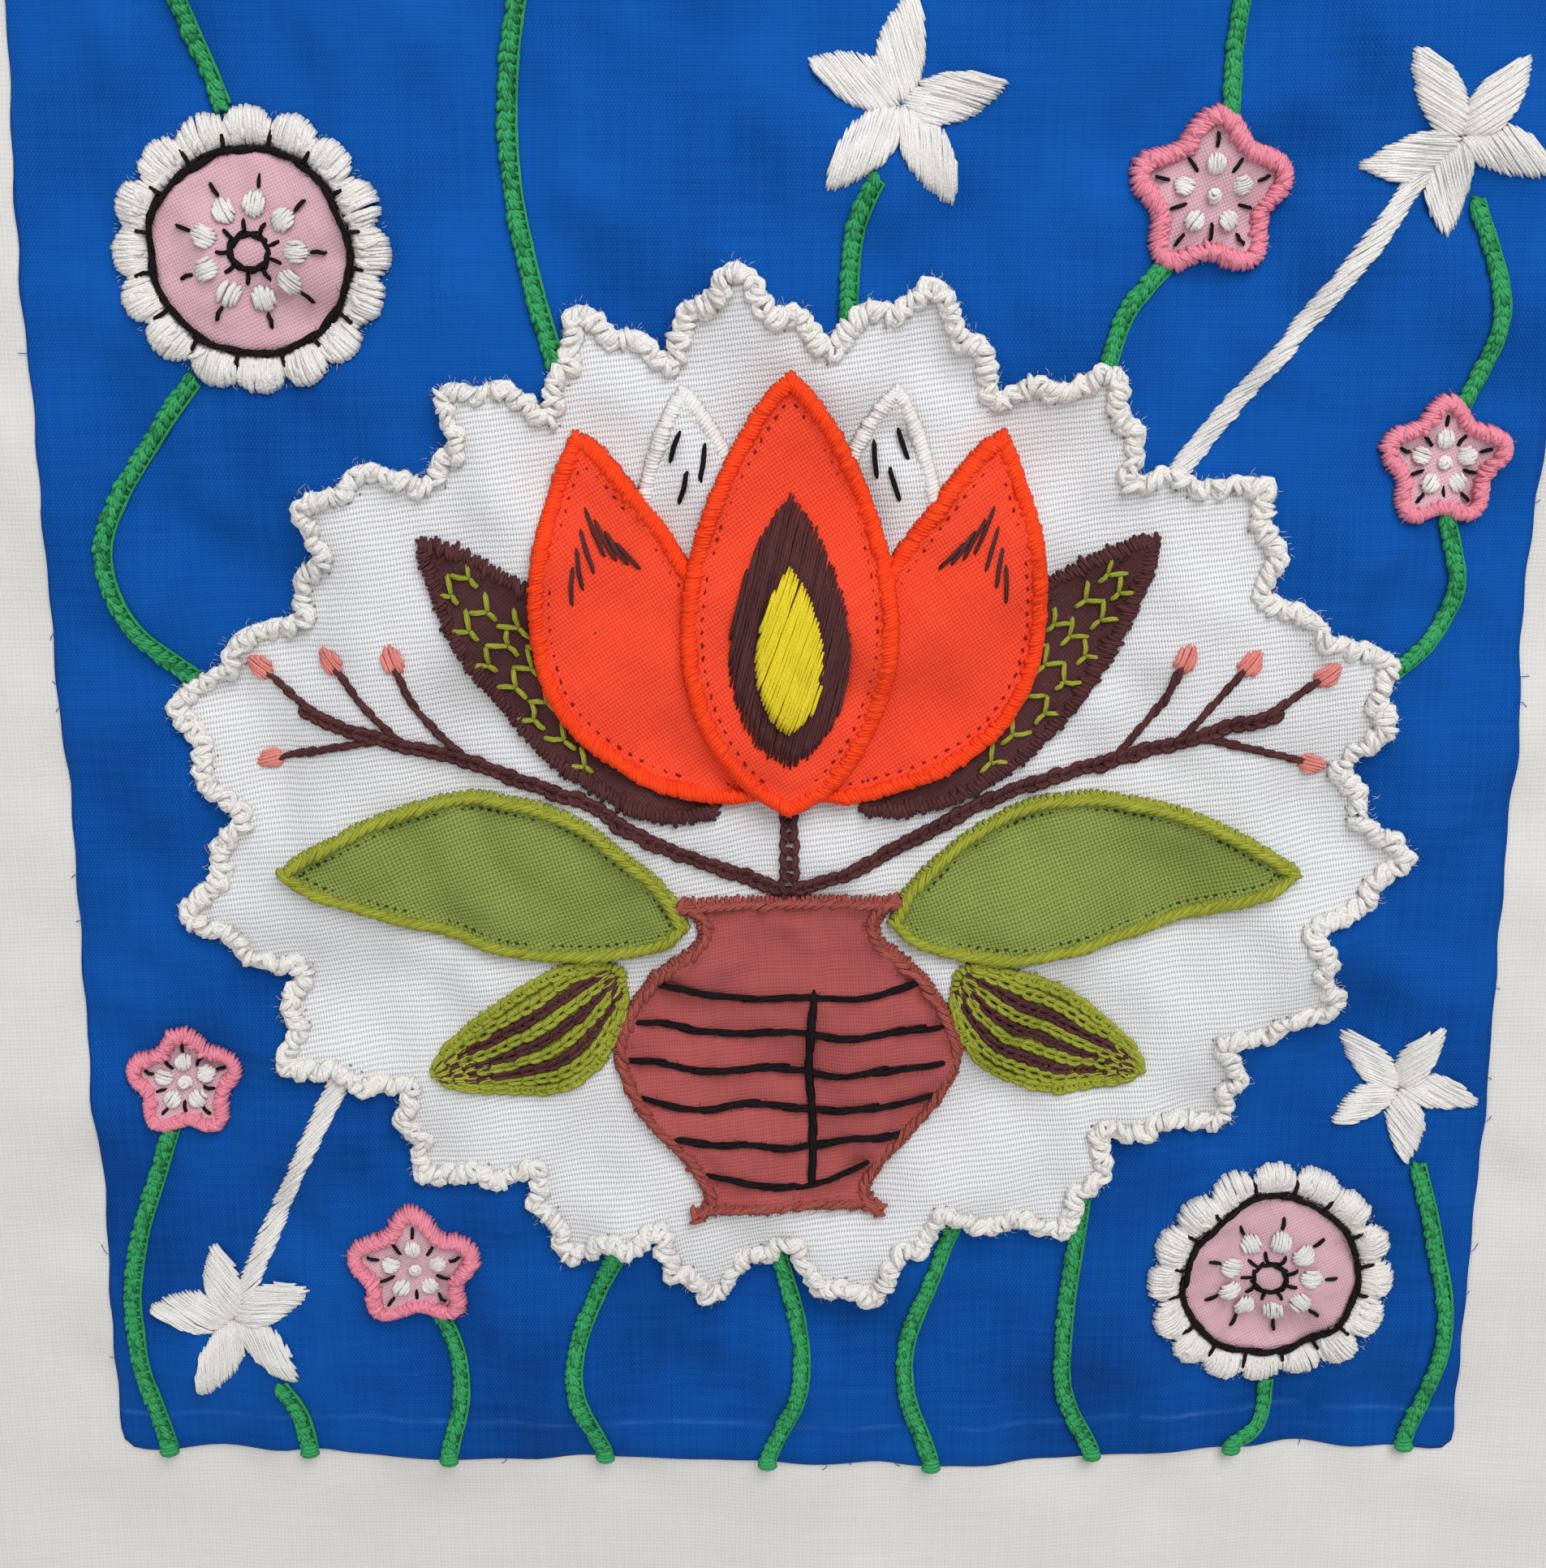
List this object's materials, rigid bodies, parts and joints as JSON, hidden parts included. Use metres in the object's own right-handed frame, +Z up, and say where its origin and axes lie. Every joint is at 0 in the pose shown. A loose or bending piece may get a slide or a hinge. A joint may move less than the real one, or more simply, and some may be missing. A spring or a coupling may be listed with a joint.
{
  "type": "embroidered wall hanging",
  "caption": "Wall hanging of hemmed off-white cotton with a blue panel, a flower vase in sewn-on cloth on a lobed white patch, and raised stitched flowers and vines",
  "frame": {"origin": "middle of the top edge, on the back of the cloth, where it hangs from", "axes": "+Z up, -Y out of the worked face towards the viewer, +X to the right as seen from the front"},
  "size_m": [0.3, 0.0134, 0.4],
  "materials": {
    "ground": "matte off-white plain-weave cotton",
    "blue": "matte royal blue plain-weave cotton with a soft sheen",
    "white": "matte white plain-weave cotton",
    "white_thread": "off-white stranded cotton, soft sheen",
    "orange": "matte orange-red cotton",
    "olive": "matte olive linen-like cotton",
    "brown": "matte dark brown cotton",
    "brick": "matte brick-red cotton",
    "pink": "matte pink cotton",
    "green_thread": "green stranded cotton, soft sheen",
    "brown_thread": "dark brown stranded cotton, fuzzy",
    "yellow_thread": "yellow stranded cotton, soft sheen"
  },
  "bodies": {
    "root": {"blossom_1": "pink", "blossom_2": "pink", "blossom_3": "pink", "blossom_4": "pink", "blossom_5": "pink", "blossom_6": "pink", "brown_leaf_left": "brown", "brown_leaf_right": "brown", "daisy_1_disc": "pink", "daisy_1_petals": "white_thread", "daisy_2_disc": "pink", "daisy_2_petals": "white_thread", "ground_cloth": "ground", "olive_leaf_left": "olive", "olive_leaf_right": "olive", "panel": "blue", "patch": "white", "patch_edging": "white_thread", "star_1": "white_thread", "star_2": "white_thread", "star_3": "white_thread", "star_4": "white_thread", "star_5": "white_thread", "star_6": "white_thread", "striped_leaf_left": "olive", "striped_leaf_right": "olive", "tulip_heart": "yellow_thread", "tulip_petal_left": "orange", "tulip_petal_middle": "orange", "tulip_petal_right": "orange", "tulip_stalk": "brown_thread", "tulip_throat": "brown_thread", "twig_left": "brown_thread", "twig_right": "brown_thread", "vase": "brick", "vine_10_1": "green_thread", "vine_10_2": "green_thread", "vine_11_1": "green_thread", "vine_12_1": "green_thread", "vine_12_2": "green_thread", "vine_13_1": "green_thread", "vine_13_2": "green_thread", "vine_14_1": "green_thread", "vine_14_2": "green_thread", "vine_1_1": "green_thread", "vine_2_1": "green_thread", "vine_3_1": "green_thread", "vine_4_1": "green_thread", "vine_5_1": "green_thread", "vine_6_1": "green_thread", "vine_7_1": "green_thread", "vine_8_1": "green_thread", "vine_9_1": "green_thread", "white_petal_left": "white", "white_petal_right": "white"}
  },
  "joints": []
}
